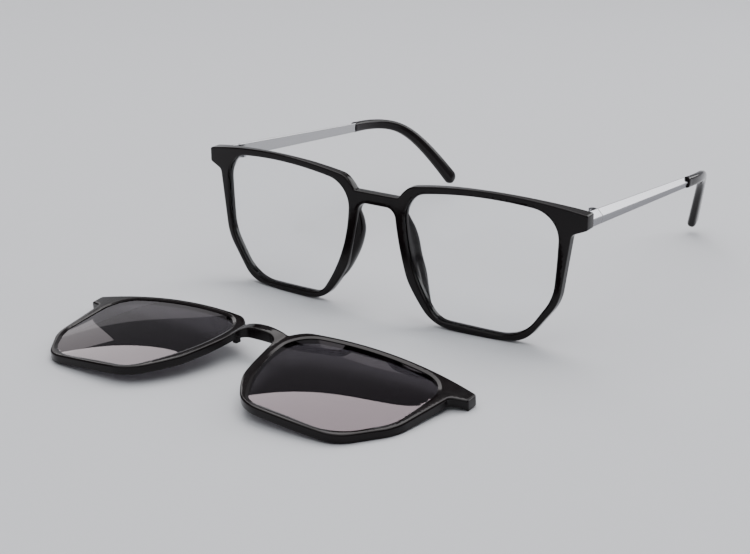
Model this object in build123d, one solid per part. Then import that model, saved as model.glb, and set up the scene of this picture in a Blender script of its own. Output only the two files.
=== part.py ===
"""Rectangular spectacle frame with a magnetic sun clip lying in front of it.

Lengths are in millimetres. The wearer looks along -Y, +X is the wearer's left and +Z is up.
The origin is the middle of the bridge's front face. The clip is modelled as worn, on the
front of the frame, and then laid face up on the table that the frame stands on.
"""
import math
import os

from build123d import *

# Front: the moulded eye rims, bridge and end pieces
front_width = 144.0         # across the two end pieces
front_curve_radius = 355.0  # bend of each rim, seen from above
rim_thickness = 3.0         # front to back
eye_inner = 10.8            # middle of the bridge to the opening's nasal edge
eye_height = 44.0           # opening, up and down
rim_top = 2.2               # rim bars in front view
rim_bottom = 1.9
rim_nasal = 3.5
rim_side = 2.9
bridge_span = 16.8          # between the rims
bridge_depth = 3.9          # top to bottom
bridge_drop = 8.9           # middle of the bridge below the top of the rims
bridge_corner = 3.5         # round under the bridge
bridge_neck = 1.5           # the gap under the bridge is narrower by this on each side
end_length = 5.3            # end piece beyond the rim
end_height = 4.8            # end piece, up and down
end_drop = 3.4              # its top edge below the top of the rims
end_thickness = 4.506       # front to back at its outer end
end_slope_length = 7.5      # flat rear slope that carries the hinge leaf, across
end_slope_drop = 2.25       # the slope runs forward by this
end_round = 0.8             # its outer corners
rear_nasal = 14.0           # the rear follows the front's bend this far from the middle
rear_flat = 28.0            # then it is flat to here, and bends back to the end's slope
end_notch_drop = 2.0        # slope of its underside
end_notch_out = 0.4         # rim's side to the notch
end_notch_round = 2.0
edge_round = 0.35           # softened front edges
groove_depth = 0.6          # lens groove in the opening's wall
groove_inset = 0.5          # front face to groove
lens_thickness = 1.1
lens_play = 0.02            # lens to groove, all round

# Outline of the opening: across and up in the eye's box, corner radius and the bow of the
# side that follows, both as shares of its width, clockwise from the upper nasal corner
opening_shares = (
    (0.002, 0.925, 0.195, 0.051),
    (0.990, 0.948, 0.190, 0.007),
    (0.958, 0.343, 0.190, 0.000),
    (0.770, 0.016, 0.150, 0.006),
    (0.226, 0.016, 0.145, 0.077),
)
# The rim's outer corners in the rim's own box, with the radius and bow as above
rim_crown_shares = (0.095, 0.948, 0.100, 0.055)
rim_lower_shares = (
    (0.949, 0.320, 0.094, 0.000),
    (0.778, 0.026, 0.165, 0.021),
    (0.238, 0.020, 0.290, 0.011),
    (0.074, 0.300, 0.259, 0.012),
)

# Nose wings, moulded on the rear of the nasal rims
wing_reach = 9.2            # behind the bridge face
wing_bulge = 1.5            # towards the nose
wing_width = 3.0            # across a section
# Height of a section as a share of the rim's height, the rim's nasal edge there as a share
# of its width, then shares of reach and bulge
wing_level_shares = (
    (0.750, 0.004, 0.34, 0.00),
    (0.690, 0.004, 0.60, 0.25),
    (0.624, 0.010, 0.82, 0.70),
    (0.541, 0.020, 0.96, 1.00),
    (0.430, 0.036, 1.00, 0.60),
    (0.320, 0.069, 0.95, 0.30),
    (0.229, 0.104, 0.74, 0.10),
    (0.156, 0.150, 0.42, 0.00),
)
# Section of a wing: across it, back along its reach, and how much of the bulge it takes
wing_profile_shares = (
    (0.25, 0.12, 0.00), (0.02, 0.30, 0.80), (0.04, 0.56, 1.00), (0.30, 0.82, 0.45),
    (0.86, 1.00, 0.00), (1.00, 0.84, 0.00), (0.80, 0.56, 0.00), (0.86, 0.30, 0.00),
    (0.80, 0.12, 0.00),
)

# Hinge: a metal end block with two knuckles and a leaf let into the end piece
bar_inset = 0.4             # end piece's outer end to the outer face of block and temple
bar_thickness = 2.4
bar_height = 4.8
bar_start_drop = 0.4        # middle of the block below the end piece's middle
block_length = 7.75         # rear corner of the end piece to the joint with the temple
seam_gap = 0.1
knuckle_radius = 1.3
knuckle_height = 1.35
knuckle_gap = 0.05
knuckle_side_gap = 0.2
knuckle_web = 2.6           # length of the web that ties a knuckle to its bar
screw_radius = 0.6
screw_fit = 0.04            # running clearance in the temple's knuckle
screw_head_radius = 0.95
screw_head_height = 0.5
screw_slot_width = 0.25
screw_slot_depth = 0.2
leaf_length = 6.3
leaf_height = 3.4
leaf_thickness = 0.8
leaf_screw_radius = 0.5
leaf_screw_length = 2.2
leaf_screw_head_radius = 0.75
leaf_screw_head_height = 0.35
leaf_screw_inset = 1.1      # inner end of the leaf to the screws
leaf_screw_spacing = 1.8

# Temple: a faceted metal bar with a moulded tip over its tail
bar_length = 70.5           # joint to the collar of the tip
bar_end_inset = 2.0         # its outer face there, from the outer face at the front
bar_end_thickness = 1.9
bar_end_height = 3.4
bar_end_drop = 7.9          # its middle there, below its middle at the front
tip_seat = 1.0              # the whole bar runs this far into the tip
tail_length = 11.0
tail_width = 0.9
tail_height = 1.6
# Bar section: outward from its outer face and up from its middle, in its own sizes
bar_section_shares = ((-1.00, 0.50), (-0.83, 0.50), (0.00, 0.06), (-0.33, -0.50), (-1.00, -0.50))

# Tip: its middle line behind the sleeve's start, inwards from the middle of the bar there and
# above the table, with the section's width and height
tip_bend_run = 25.2
tip_bend_inset = 4.45
tip_bend_height = 29.0
tip_middle_run = 36.5
tip_middle_inset = 9.65
tip_middle_height = 18.2
tip_end_run = 47.9
tip_end_inset = 15.75
tip_end_height = 1.49
tip_width = 3.0
tip_start_tall = 4.1
tip_bend_tall = 4.6
tip_middle_tall = 5.6
tip_end_tall = 6.0
tip_straight = 9.0          # straight run before the bend
collar_width = 3.4
collar_tall = 4.7
collar_length = 1.6
tip_round_share = 0.46      # corner radius of a section in its width
tip_end_round = 1.1

# Magnets: discs under the skin of the front and in the rear face of the clip
magnet_skin = 0.7           # plastic in front of the frame's magnets
end_magnet_radius = 1.5
end_magnet_thickness = 1.6
end_magnet_inset = 2.4      # outer end of the end piece to the middle of the disc
bridge_magnet_radius = 1.1
bridge_magnet_thickness = 1.2
bridge_magnet_inset = 2.2   # opening's nasal edge to the middle of the disc

# Clip: rims with the front's outline, an arched bridge and two locating lugs
clip_thickness = 2.7
clip_stand_off = 0.7        # between the rims when worn; the end pads close it
clip_pad_length = 6.6       # pads behind the end pieces, measured across
clip_arch = 5.1             # crown of the bridge in front of the frame's bridge face
clip_bridge_gap = 1.4       # rear of the clip's bridge to the frame's bridge at the middle
clip_foot_gap = 0.9         # the same at the feet
clip_foot_set_back = 0.8    # front of the feet behind the clip's front face
clip_foot_length = 1.8      # the feet reach this far into the rims
clip_bridge_round = 0.7
clip_groove_inset = 0.5
clip_lens_thickness = 0.9
lug_inner = 4.9             # middle plane to the lug
lug_play = 0.35             # lug to the frame's bridge and nasal rim
lug_drop = 5.2              # its length below the bridge
lug_reach = 1.2             # behind the frame's bridge face
lug_set_back = 1.0          # behind the clip's front face
lug_round = 1.1
clip_out = -8.1             # where the clip lies: its middle from the mirror plane
clip_ahead = 65.5           # its mid-height in front of the bridge face
clip_yaw_angle = -0.5       # degrees
clip_pitch_angle = 4.9      # degrees, top edge up, so that it rests on pads and rims

overrun = 2.0               # cuts run past the faces they cross

half_front = front_width / 2
half_bridge = bridge_span / 2
rim_outer = half_front - end_length
eye_outer = rim_outer - rim_side
eye_width = eye_outer - eye_inner
rim_inner = eye_inner - rim_nasal
rim_span = rim_outer - rim_inner
rim_height = rim_bottom + eye_height + rim_top
bridge_height = rim_height - bridge_drop
end_top = rim_height - end_drop
end_under = end_top - end_height
end_middle = (end_top + end_under) / 2
end_run = half_front - half_bridge
end_back = front_curve_radius - math.sqrt(front_curve_radius ** 2 - end_run ** 2) + end_thickness
bar_outer = half_front - bar_inset
bar_start_height = end_middle - bar_start_drop
bar_end_outer = bar_outer - bar_end_inset
bar_end_middle_height = bar_start_height - bar_end_drop
seam_back = end_back + block_length
sleeve_start = seam_back + bar_length
bridge_top = bridge_height + bridge_depth / 2
bridge_under = bridge_height - bridge_depth / 2
hinge_out = bar_outer - bar_thickness - knuckle_side_gap - knuckle_radius
end_magnet_out = half_front - end_magnet_inset
bridge_magnet_out = eye_inner - bridge_magnet_inset
clip_front = clip_stand_off + clip_thickness


def up(height):
    """Height above the table as a Z coordinate."""
    return height - bridge_height


def grown(rows, amount):
    """Rows of a clockwise outline moved outwards by an amount, with their corners' radii."""
    result = []
    for place, (x, z, radius, bow) in enumerate(rows):
        before = Vector(*rows[place - 1][:2])
        here = Vector(x, z)
        after = Vector(*rows[(place + 1) % len(rows)][:2])
        into, leave = (here - before).normalized(), (after - here).normalized()
        first, second = Vector(-into.Y, into.X), Vector(-leave.Y, leave.X)
        moved = here + (first + second) * (amount / (1 + first.dot(second)))
        turn = 1 if into.cross(leave).Z < 0 else -1
        result.append((moved.X, moved.Y, radius + turn * amount, bow))
    return result


def outline_face(rows, corners):
    """Face inside a clockwise ring of (x, z, radius, bow) rows, its sides bowed outwards."""
    points = [Vector(x, z) for x, z, radius, bow in rows]
    edges = []
    for start, end, row in zip(points, points[1:] + points[:1], rows):
        side = end - start
        out = Vector(-side.Y, side.X).normalized()
        bowed = (start + end) / 2 + out * row[3]
        edges.append(ThreePointArc(start, bowed, end) if row[3] else Line(start, end))
    face = make_face(Curve() + edges)
    for place in corners:
        corner = face.vertices().sort_by_distance(points[place])[0]
        face = fillet(corner, rows[place][2])
    return face


def eye_face(grow=0):
    """The opening in one rim, in front view, for the wearer's left, grown all round."""
    rows = [(eye_inner + across * eye_width, up(rim_bottom + rise * eye_height),
             radius * eye_width, bow * eye_width) for across, rise, radius, bow in opening_shares]
    return outline_face(grown(rows, grow), range(len(rows)))


def rim_row(shares):
    """One outer corner of the rim from its row of shares."""
    across, rise, radius, bow = shares
    return (rim_inner + across * rim_span, up(rise * rim_height), radius * eye_width, bow * eye_width)


def front_face(grow=0):
    """Outline of the whole front, both halves, without the openings, grown all round."""
    rows = [
        (half_bridge, up(bridge_top), end_round, 0),
        rim_row(rim_crown_shares),
        (half_front, up(end_top), end_round, 0),
        (half_front, up(end_under), end_round, 0),
        (rim_outer + end_notch_out, up(end_under - end_notch_drop), end_notch_round, 0),
        *[rim_row(shares) for shares in rim_lower_shares],
        (half_bridge - bridge_neck, up(bridge_under), bridge_corner, 0),
    ]
    left = [(-x, z, radius, row[3]) for (x, z, radius, bow), row in zip(rows[::-1], rows[-2::-1] + rows[-1:])]
    rows = rows + left
    return outline_face(grown(rows, grow), range(len(rows)))


def along_y(face, start, end):
    """Front-view face carried from y = start to y = end."""
    return extrude(Plane.XZ.offset(-end) * face, end - start)


def through(face):
    """Front-view face carried through the whole depth of the front."""
    return along_y(face, -half_front, half_front)


def bend_back(out, ahead):
    """How far back a bent surface lies that runs ahead of the front's face by an offset."""
    run = max(abs(out) - half_bridge, 0)
    radius = front_curve_radius + ahead
    return front_curve_radius - math.sqrt(radius * radius - run * run)


def bent_arc(ahead, start, end):
    """Arc of a bent surface between two places on +X."""
    middle = (start + end) / 2
    return ThreePointArc((start, bend_back(start, ahead)), (middle, bend_back(middle, ahead)),
                         (end, bend_back(end, ahead)))


def bent_sheet(front, rear):
    """Bent plate between two offsets over the whole front, with a flat at the bridge."""
    reach = half_front + overrun
    half = make_face(Curve() + [
        bent_arc(front, half_bridge, reach),
        Line((reach, bend_back(reach, front)), (reach, bend_back(reach, rear))),
        bent_arc(rear, half_bridge, reach),
        Line((half_bridge, -rear), (half_bridge, -front))])
    flat = Pos(0, -(front + rear) / 2) * Rectangle(bridge_span, front - rear)
    return Pos(0, 0, -rim_height) * extrude(half + mirror(half, Plane.YZ) + flat, 2 * rim_height)


def eye_plate(front, rear, grow):
    """Bent plate with the opening's outline grown all round: a lens, or the cut for it."""
    return (through(eye_face(grow)) & bent_sheet(front, rear)).solid()


def disc(radius, thickness, out, height, ahead):
    """Disc square to the bent front, its front face ahead of the front's face by an offset."""
    turn = math.degrees(math.asin((out - half_bridge) / front_curve_radius))
    place = Location((out, bend_back(out, ahead), up(height))) * Rotation(0, 0, turn)
    return place * Rotation(-90, 0, 0) * extrude(Circle(radius), thickness)


def soften(body, ahead, radius):
    """Round the long edges of a body that lie on a bent surface."""
    edges = []
    for edge in body.edges():
        middle = edge.position_at(0.5)
        if edge.length > radius and abs(middle.Y - bend_back(middle.X, ahead)) < radius / 4:
            edges.append(edge)
    return fillet(edges, radius)


def cut_both(body, tool):
    """Take a cut and its mirror image out of a body."""
    return body - tool - mirror(tool, Plane.YZ)


def front_slab():
    """Plate that the front is cut from: even in the lower rims, and above the end pieces'
    underside thinner in mid rim and thick at the ends."""
    side = half_front + overrun
    slope = end_slope_drop / end_slope_length
    heel = (half_front - end_slope_length, end_back - end_slope_drop)
    rear = bend_back(rear_nasal, -rim_thickness)
    half = make_face(Curve() + [
        bent_arc(0, half_bridge, side), Line((side, bend_back(side, 0)), (side, end_back + overrun * slope)),
        Line((side, end_back + overrun * slope), heel),
        TangentArc(heel, (rear_flat, rear), tangent=(-1, -slope)), Line((rear_flat, rear), (rear_nasal, rear)),
        bent_arc(-rim_thickness, half_bridge, rear_nasal), Line((half_bridge, rim_thickness), (half_bridge, 0))])
    flat = Pos(0, rim_thickness / 2) * Rectangle(bridge_span, rim_thickness)
    profile = half + mirror(half, Plane.YZ) + flat
    level = end_under - end_notch_drop / 2
    top = Pos(0, 0, up(level)) * extrude(profile, rim_height)
    under = Box(front_width + 2 * overrun, front_width, rim_height, align=(Align.CENTER, Align.CENTER, Align.MAX))
    return top + (bent_sheet(0, -rim_thickness) & Pos(0, 0, up(level)) * under)


def wing_section(shares):
    """Closed section of a nose wing at one height."""
    rise, edge, reach, bulge = shares
    inner = rim_inner + edge * rim_span
    points = [(inner + across * wing_width - full * bulge * wing_bulge, back * reach * wing_reach)
              for across, back, full in wing_profile_shares]
    return Pos(0, 0, up(rise * rim_height)) * make_face(Spline(points, periodic=True))


def front_frame():
    """The front moulding with its openings, lens grooves, wings and pockets."""
    opening = through(eye_face())
    body = cut_both(through(front_face()) & front_slab(), opening)
    body = soften(body, 0, edge_round)
    wing = loft([wing_section(shares) for shares in wing_level_shares]) - opening
    body = body + wing + mirror(wing, Plane.YZ)
    groove = eye_plate(-groove_inset, -groove_inset - lens_thickness, groove_depth)
    for cut in (groove, hinge_leaf(), leaf_screws(), end_magnet_well(), bridge_magnet_pocket()):
        body = cut_both(body, cut)
    return body.solid()


def lens():
    """Clear lens in the frame's groove."""
    return eye_plate(-groove_inset, -groove_inset - lens_thickness, groove_depth - lens_play)


def on_slope(part):
    """Move a part to the end piece's rear slope: X runs outwards along it and Y back from it."""
    slope = end_slope_drop / end_slope_length
    place = Pos(bar_outer, end_back - (half_front - bar_outer) * slope, up(end_middle))
    return place * Rotation(0, 0, math.degrees(math.atan(slope))) * part


def hinge_leaf():
    """Plate of the hinge block that is let flush into the end piece's rear slope."""
    return on_slope(Box(leaf_length, leaf_thickness, leaf_height, align=(Align.MAX, Align.MAX, Align.CENTER)))


def leaf_screws():
    """Two countersunk screws that hold the leaf to the end piece."""
    shank = extrude(Circle(leaf_screw_radius), leaf_screw_length)
    screw = Rotation(90, 0, 0) * (shank + extrude(Circle(leaf_screw_head_radius), leaf_screw_head_height))
    along = leaf_screw_inset - leaf_length
    half = leaf_screw_spacing / 2
    return Compound([on_slope(Pos(along, 0, rise) * screw) for rise in (-half, half)])


def end_magnet():
    """Disc under the skin of an end piece."""
    return disc(end_magnet_radius, end_magnet_thickness, end_magnet_out, end_middle, -magnet_skin)


def end_magnet_well():
    """Pocket that the end magnet is dropped into, closed by the hinge leaf."""
    well = disc(end_magnet_radius, end_back, end_magnet_out, end_middle, -magnet_skin)
    rear = Box(front_width, end_back, rim_height, align=(Align.CENTER, Align.MIN, Align.CENTER))
    return well - on_slope(Pos(0, -leaf_thickness, 0) * rear)


def bridge_magnet():
    """Disc under the skin of the bridge's end."""
    return disc(bridge_magnet_radius, bridge_magnet_thickness, bridge_magnet_out, bridge_height, -magnet_skin)


def bridge_magnet_pocket():
    """Pocket for the bridge magnet, open at the rear."""
    return disc(bridge_magnet_radius, rim_thickness, bridge_magnet_out, bridge_height, -magnet_skin)


def bar_place(back):
    """Outer face, middle height, thickness and height of the bar behind the bridge face."""
    share = (back - end_back) / (sleeve_start - end_back)
    outer = bar_outer + share * (bar_end_outer - bar_outer)
    middle = bar_start_height + share * (bar_end_middle_height - bar_start_height)
    thick = bar_thickness + share * (bar_end_thickness - bar_thickness)
    tall = bar_height + share * (bar_end_height - bar_height)
    return outer, middle, thick, tall


def bar_middle(back):
    """Middle of the bar's section behind the bridge face."""
    outer, middle, thick, tall = bar_place(back)
    return Vector(outer - thick / 2, back, up(middle))


def bar_section(back):
    """Faceted section of the bar."""
    outer, middle, thick, tall = bar_place(back)
    points = [(outer + out * thick, up(middle) + rise * tall) for out, rise in bar_section_shares]
    return Plane.XZ.offset(-back) * make_face(Polyline(points, close=True))


def on_hinge(part):
    """Move a part to the hinge axis at the middle knuckle's mid height."""
    return Pos(hinge_out, seam_back, up(bar_place(seam_back)[1])) * part


def knuckle(low, high, side):
    """Knuckle round the hinge axis and its web, which lies ahead of the axis or behind it."""
    barrel = extrude(Circle(knuckle_radius), high - low)
    run = knuckle_radius + knuckle_side_gap + bar_thickness / 2
    web = Box(run, knuckle_web, high - low, align=(Align.MIN, side, Align.MIN))
    return on_hinge(Pos(0, 0, low) * (barrel + web))


def screw_blank():
    """Hinge screw before its slot is cut."""
    half = knuckle_height / 2 + knuckle_gap + knuckle_height
    shank = Pos(0, 0, -half) * extrude(Circle(screw_radius), 2 * half)
    return shank + Pos(0, 0, half - screw_head_height) * extrude(Circle(screw_head_radius), screw_head_height)


def hinge_screw():
    """Pivot screw through the three knuckles, with a slotted head."""
    top = knuckle_height / 2 + knuckle_gap + knuckle_height
    slot = Pos(0, 0, top) * Box(2 * screw_head_radius, screw_slot_width, 2 * screw_slot_depth)
    return on_hinge(screw_blank() - slot)


def hinge_block():
    """Metal end block: faceted bar, two knuckles and the leaf."""
    ahead = end_back - end_slope_drop
    bar = loft([bar_section(ahead), bar_section(seam_back - seam_gap / 2)], ruled=True)
    front = Box(front_width, end_back, rim_height, align=(Align.CENTER, Align.MAX, Align.CENTER))
    near = knuckle_height / 2 + knuckle_gap
    far = near + knuckle_height
    block = bar - on_slope(front) + hinge_leaf() + knuckle(near, far, Align.MAX) + knuckle(-far, -near, Align.MAX)
    return (block - leaf_screws() - on_hinge(screw_blank())).solid()


def temple_bar():
    """Faceted metal bar with the middle knuckle and the tail that carries the tip."""
    end = sleeve_start + tip_seat
    half = knuckle_height / 2
    bar = loft([bar_section(seam_back + seam_gap / 2), bar_section(end)], ruled=True)
    root = Plane.XZ.offset(-end) * Pos(bar_middle(end).X, bar_middle(end).Z) * Rectangle(tail_width, tail_height)
    tail = extrude(root, tail_length, dir=bar_middle(end + tail_length) - bar_middle(end))
    bore = on_hinge(Cylinder(screw_radius + screw_fit, bar_height))
    return (bar + tail + knuckle(-half, half, Align.MIN) - bore).solid()


def tip_section(place, run, width, tall):
    """Rounded section of the tip, square to its run."""
    plane = Plane(origin=place, x_dir=(1, 0, 0), z_dir=run)
    return plane * RectangleRounded(width, tall, width * tip_round_share)


def temple_tip():
    """Moulded tip: collar, straight grip, bend and flared end, hollow over the bar's tail."""
    start = bar_middle(sleeve_start)
    run = (bar_middle(sleeve_start + tip_straight) - start).normalized()
    grip = start + run * tip_straight
    bend = Vector(start.X - tip_bend_inset, start.Y + tip_bend_run, up(tip_bend_height))
    middle = Vector(start.X - tip_middle_inset, start.Y + tip_middle_run, up(tip_middle_height))
    foot = Vector(start.X - tip_end_inset, start.Y + tip_end_run, up(tip_end_height))
    line = Spline([start, grip, bend, middle, foot])
    talls = ((start, tip_start_tall), (grip, tip_start_tall), (bend, tip_bend_tall),
             (middle, tip_middle_tall), (foot, tip_end_tall))
    body = loft([tip_section(place, line % line.param_at_point(place), tip_width, tall) for place, tall in talls])
    body = fillet(body.faces().sort_by_distance(foot)[0].edges(), tip_end_round)
    collar = extrude(tip_section(start, run, collar_width, collar_tall), collar_length)
    return (body + collar - temple_bar()).solid()


def clip_frame():
    """The clip's moulding as worn: rims, arched bridge, end pads, lugs and pockets."""
    opening = through(eye_face())
    outline = front_face()
    body = cut_both(through(outline) & bent_sheet(clip_front, clip_stand_off), opening)
    body = soften(body, clip_front, edge_round) - Box(2 * rim_inner, front_width, 2 * rim_height)
    pad = Box(clip_pad_length, front_width, end_height, align=(Align.MAX, Align.CENTER, Align.MAX))
    pad = Pos(half_front, 0, up(end_top)) * pad & through(outline)
    pad = pad & bent_sheet(clip_stand_off + clip_thickness / 2, 0)
    lug = clip_lug()
    body = body + pad + mirror(pad, Plane.YZ) + clip_bridge() + lug + mirror(lug, Plane.YZ)
    front = clip_front - clip_groove_inset
    groove = eye_plate(front, front - clip_lens_thickness, groove_depth)
    for cut in (groove, clip_end_magnet(), clip_bridge_magnet()):
        body = cut_both(body, cut)
    return body.solid()


def clip_bridge():
    """Arched bar between the clip's rims, rounded along its front."""
    foot = half_bridge + clip_foot_length
    front = -(clip_front - clip_foot_set_back)
    rear = -clip_foot_gap
    profile = make_face(Curve() + [
        ThreePointArc((-foot, front), (0, -clip_arch), (foot, front)), Line((foot, front), (foot, rear)),
        ThreePointArc((foot, rear), (0, -clip_bridge_gap), (-foot, rear)), Line((-foot, rear), (-foot, front))])
    bar = Pos(0, 0, up(bridge_under)) * extrude(profile, bridge_depth)
    return fillet(bar.faces().sort_by(Axis.Y)[0].edges().filter_by(GeomType.CIRCLE), clip_bridge_round)


def clip_lug():
    """Lug that hangs behind the clip's nasal rim and drops in beside the frame's bridge."""
    reach = rim_inner + overrun - lug_inner
    plate = RectangleRounded(reach, lug_drop, lug_round)
    face = Pos(lug_inner + reach / 2, up(bridge_under) - lug_drop / 2) * plate
    top = Pos(lug_inner + reach / 2, up(bridge_under)) * Rectangle(reach - 2 * lug_round, lug_drop)
    lug = along_y(face + (top & face), -(clip_front - lug_set_back), lug_reach)
    play = along_y(front_face(lug_play), -clip_stand_off, half_front)
    return lug - play - through(eye_face())


def clip_lens():
    """Dark lens in the clip's groove."""
    front = clip_front - clip_groove_inset
    return eye_plate(front, front - clip_lens_thickness, groove_depth - lens_play)


def clip_end_magnet():
    """Disc flush with the rear of the clip's end pad."""
    return disc(end_magnet_radius, end_magnet_thickness, end_magnet_out, end_middle, end_magnet_thickness)


def clip_bridge_magnet():
    """Disc flush with the rear of the clip's rim at the bridge."""
    ahead = clip_stand_off + bridge_magnet_thickness
    return disc(bridge_magnet_radius, bridge_magnet_thickness, bridge_magnet_out, bridge_height, ahead)


def lay_down(part):
    """Turn a worn clip part face up and lay it on the table in front of the frame."""
    turn = Rotation(0, 0, clip_yaw_angle) * Rotation(clip_pitch_angle - 90, 0, 0)
    return turn * Pos(0, clip_front, -up(rim_height / 2)) * part


def make_parts():
    """Every node by its name."""
    parts = {"front_frame": front_frame()}
    pairs = {"demo_lens": lens(), "end_magnet": end_magnet(), "bridge_magnet": bridge_magnet(),
             "hinge_block": hinge_block(), "leaf_screws": leaf_screws(), "hinge_screw": hinge_screw(),
             "temple_bar": temple_bar(), "temple_tip": temple_tip()}
    for name, part in pairs.items():
        parts[name + "_left"] = part
        parts[name + "_right"] = mirror(part, Plane.YZ)
    body = lay_down(clip_frame())
    drop = Pos(clip_out, -clip_ahead, up(0) - body.bounding_box().min.Z)
    parts["clip_frame"] = drop * body
    clip_pairs = {"clip_lens": clip_lens(), "clip_end_magnet": clip_end_magnet(),
                  "clip_bridge_magnet": clip_bridge_magnet()}
    for name, part in clip_pairs.items():
        parts[name + "_left"] = drop * lay_down(part)
        parts[name + "_right"] = drop * lay_down(mirror(part, Plane.YZ))
    return parts


os.makedirs("parts", exist_ok=True)
for node, shape in make_parts().items():
    export_step(shape, "parts/" + node + ".step")
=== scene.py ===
"""Rectangular spectacle frame with metal temples, and its magnetic sun clip lying in front of it.

Lengths are in metres. The wearer looks along -Y, +X is the wearer's left and +Z is up. Every
shape is worked out on the +X side, where it is worn, and mirrored. The clip is worked out on
the front of the frame and then laid on the table.
"""
import math

import bmesh
import bpy
import numpy as np
from bpy.props import FloatProperty, FloatVectorProperty, PointerProperty
from bpy.types import Operator, Panel, PropertyGroup
from mathutils import Matrix, Vector
from mathutils.geometry import delaunay_2d_cdt


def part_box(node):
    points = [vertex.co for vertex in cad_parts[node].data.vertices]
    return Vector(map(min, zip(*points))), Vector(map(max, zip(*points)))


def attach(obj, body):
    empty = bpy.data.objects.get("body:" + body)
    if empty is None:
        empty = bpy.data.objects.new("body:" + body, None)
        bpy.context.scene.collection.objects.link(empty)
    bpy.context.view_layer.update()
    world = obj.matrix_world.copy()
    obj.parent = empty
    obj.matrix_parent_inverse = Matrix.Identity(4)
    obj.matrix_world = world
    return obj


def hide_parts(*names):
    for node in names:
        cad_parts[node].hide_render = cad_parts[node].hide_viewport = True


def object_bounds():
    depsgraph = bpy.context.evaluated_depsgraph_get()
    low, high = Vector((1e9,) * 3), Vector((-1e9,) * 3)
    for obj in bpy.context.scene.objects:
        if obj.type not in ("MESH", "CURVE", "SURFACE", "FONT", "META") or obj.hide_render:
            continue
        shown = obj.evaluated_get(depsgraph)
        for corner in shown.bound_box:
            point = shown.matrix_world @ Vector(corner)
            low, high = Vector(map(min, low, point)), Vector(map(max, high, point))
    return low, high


bl_info = {
    "name": "Spectacles with a magnetic sun clip",
    "version": (1, 0, 0),
    "blender": (4, 5, 0),
    "location": "3D View > Sidebar > Spectacles",
    "description": "Builds a spectacle frame and its sun clip round the packed parts",
    "category": "Object",
}

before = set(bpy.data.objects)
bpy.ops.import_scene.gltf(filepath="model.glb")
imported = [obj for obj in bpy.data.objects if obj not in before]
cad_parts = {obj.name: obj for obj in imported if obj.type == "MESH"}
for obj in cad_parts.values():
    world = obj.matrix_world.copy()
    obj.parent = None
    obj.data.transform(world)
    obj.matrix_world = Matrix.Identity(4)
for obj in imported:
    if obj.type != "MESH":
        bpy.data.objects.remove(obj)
CAD_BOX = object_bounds()
HALF_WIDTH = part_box("front_frame")[1].x
SIDES = "left", "right"

# Corners of the opening and of the rims, clockwise in front view: across and up as shares of
# their box, corner radius and bow of the side that follows as shares of the opening's width
OPENING = ((0.002, 0.925, 0.195, 0.051), (0.990, 0.948, 0.190, 0.007), (0.968, 0.339, 0.340, 0.0),
           (0.779, -0.003, 0.280, 0.0), (0.226, 0.016, 0.145, 0.077))
CROWN = (0.094, 0.948, 0.135, 0.055)
LOWER_RIM = ((0.955, 0.317, 0.300, 0.0), (0.779, 0.022, 0.210, 0.0188),
             (0.238, 0.020, 0.290, 0.011), (0.073, 0.300, 0.400, 0.012))

# Nose wing: height and nasal edge in the rim's box, shares of its reach and of its bulge
WING_LEVELS = ((0.770, 0.004, 0.28, 0.00), (0.690, 0.004, 0.60, 0.25), (0.624, 0.010, 0.82, 0.70),
               (0.541, 0.020, 0.96, 1.00), (0.430, 0.036, 1.00, 0.60), (0.320, 0.069, 0.95, 0.30),
               (0.229, 0.104, 0.74, 0.10), (0.150, 0.154, 0.36, 0.00))
# Its section: across, back along the reach, and how much of the bulge it takes
WING_SECTION = ((0.25, 0.12, 0.0), (0.02, 0.30, 0.8), (0.04, 0.56, 1.0), (0.30, 0.82, 0.45),
                (0.58, 0.97, 0.1), (0.86, 1.00, 0.0), (1.00, 0.84, 0.0), (0.86, 0.56, 0.0),
                (0.86, 0.30, 0.0), (0.80, 0.12, 0.0))

# Section of the metal bar: outward and up, in its own thickness and height
BAR_SECTION = ((-1.00, 0.50), (-0.83, 0.50), (0.00, 0.06), (-0.33, -0.50), (-1.00, -0.50))
BAR_ROUND = 0.09
BAR_INSIDE, TAIL = 0.0004, 0.001  # into the end piece, and into the tip
# The hinge's softened edges, and how far a knuckle's web runs into its bar
KNUCKLE_SOFT, WEB_ROUND, LEAF_ROUND, WEB_BITE = 0.00012, 0.0001, 0.00012, 0.0005

# Middle line of the tip: across, behind the bridge, above the table, height and width of its
# section. Before these it has two points on the bar's line, a grip's length apart.
TIP_LINE = ((0.0642, 0.1137, 0.029, 0.0038, 0.0028), (0.0588, 0.1252, 0.0189, 0.0046, 0.003),
            (0.0523, 0.1367, 0.003, 0.0056, 0.0034))
GRIP, START_SECTION, GRIP_SECTION = 0.009, (0.0038, 0.0025), (0.0037, 0.0026)
TIP_STEPS, TIP_CORNER = 150, 0.72
COLLAR_PROUD, COLLAR_STEP = 0.00005, 0.00015

# Corners of the clip's lug: across, above the underside of the bridge, corner radius
LUG = ((0.0062, -0.0004, 0.0005), (0.0082, -0.0014, 0.0003), (0.0085, -0.0028, 0.0003),
       (0.0068, -0.0030, 0.0007))
LUG_SET_BACK, LUG_REAR = 0.001, 0.0002  # front behind the clip's face, rear behind the bridge's

# Opening's front bevel, across the face and down the wall, and its rear round
FRONT_OPENING, CLIP_OPENING = ((0.00045, 0.0003), 0.0003), ((0.00105, 0.00026), 0.00025)
# Rounds of the front and the rear edges
CLIP_ROUNDS, LENS_ROUNDS, LUG_ROUNDS = (0.00055, 0.00025), (0.0001, 0.0001), (0.0002, 0.0004)
# Sides of the triangles that fill a plate's faces
FRONT_MESH, CLIP_MESH, LENS_MESH, LUG_MESH = 0.0009, 0.0007, 0.0012, 0.0005

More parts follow.
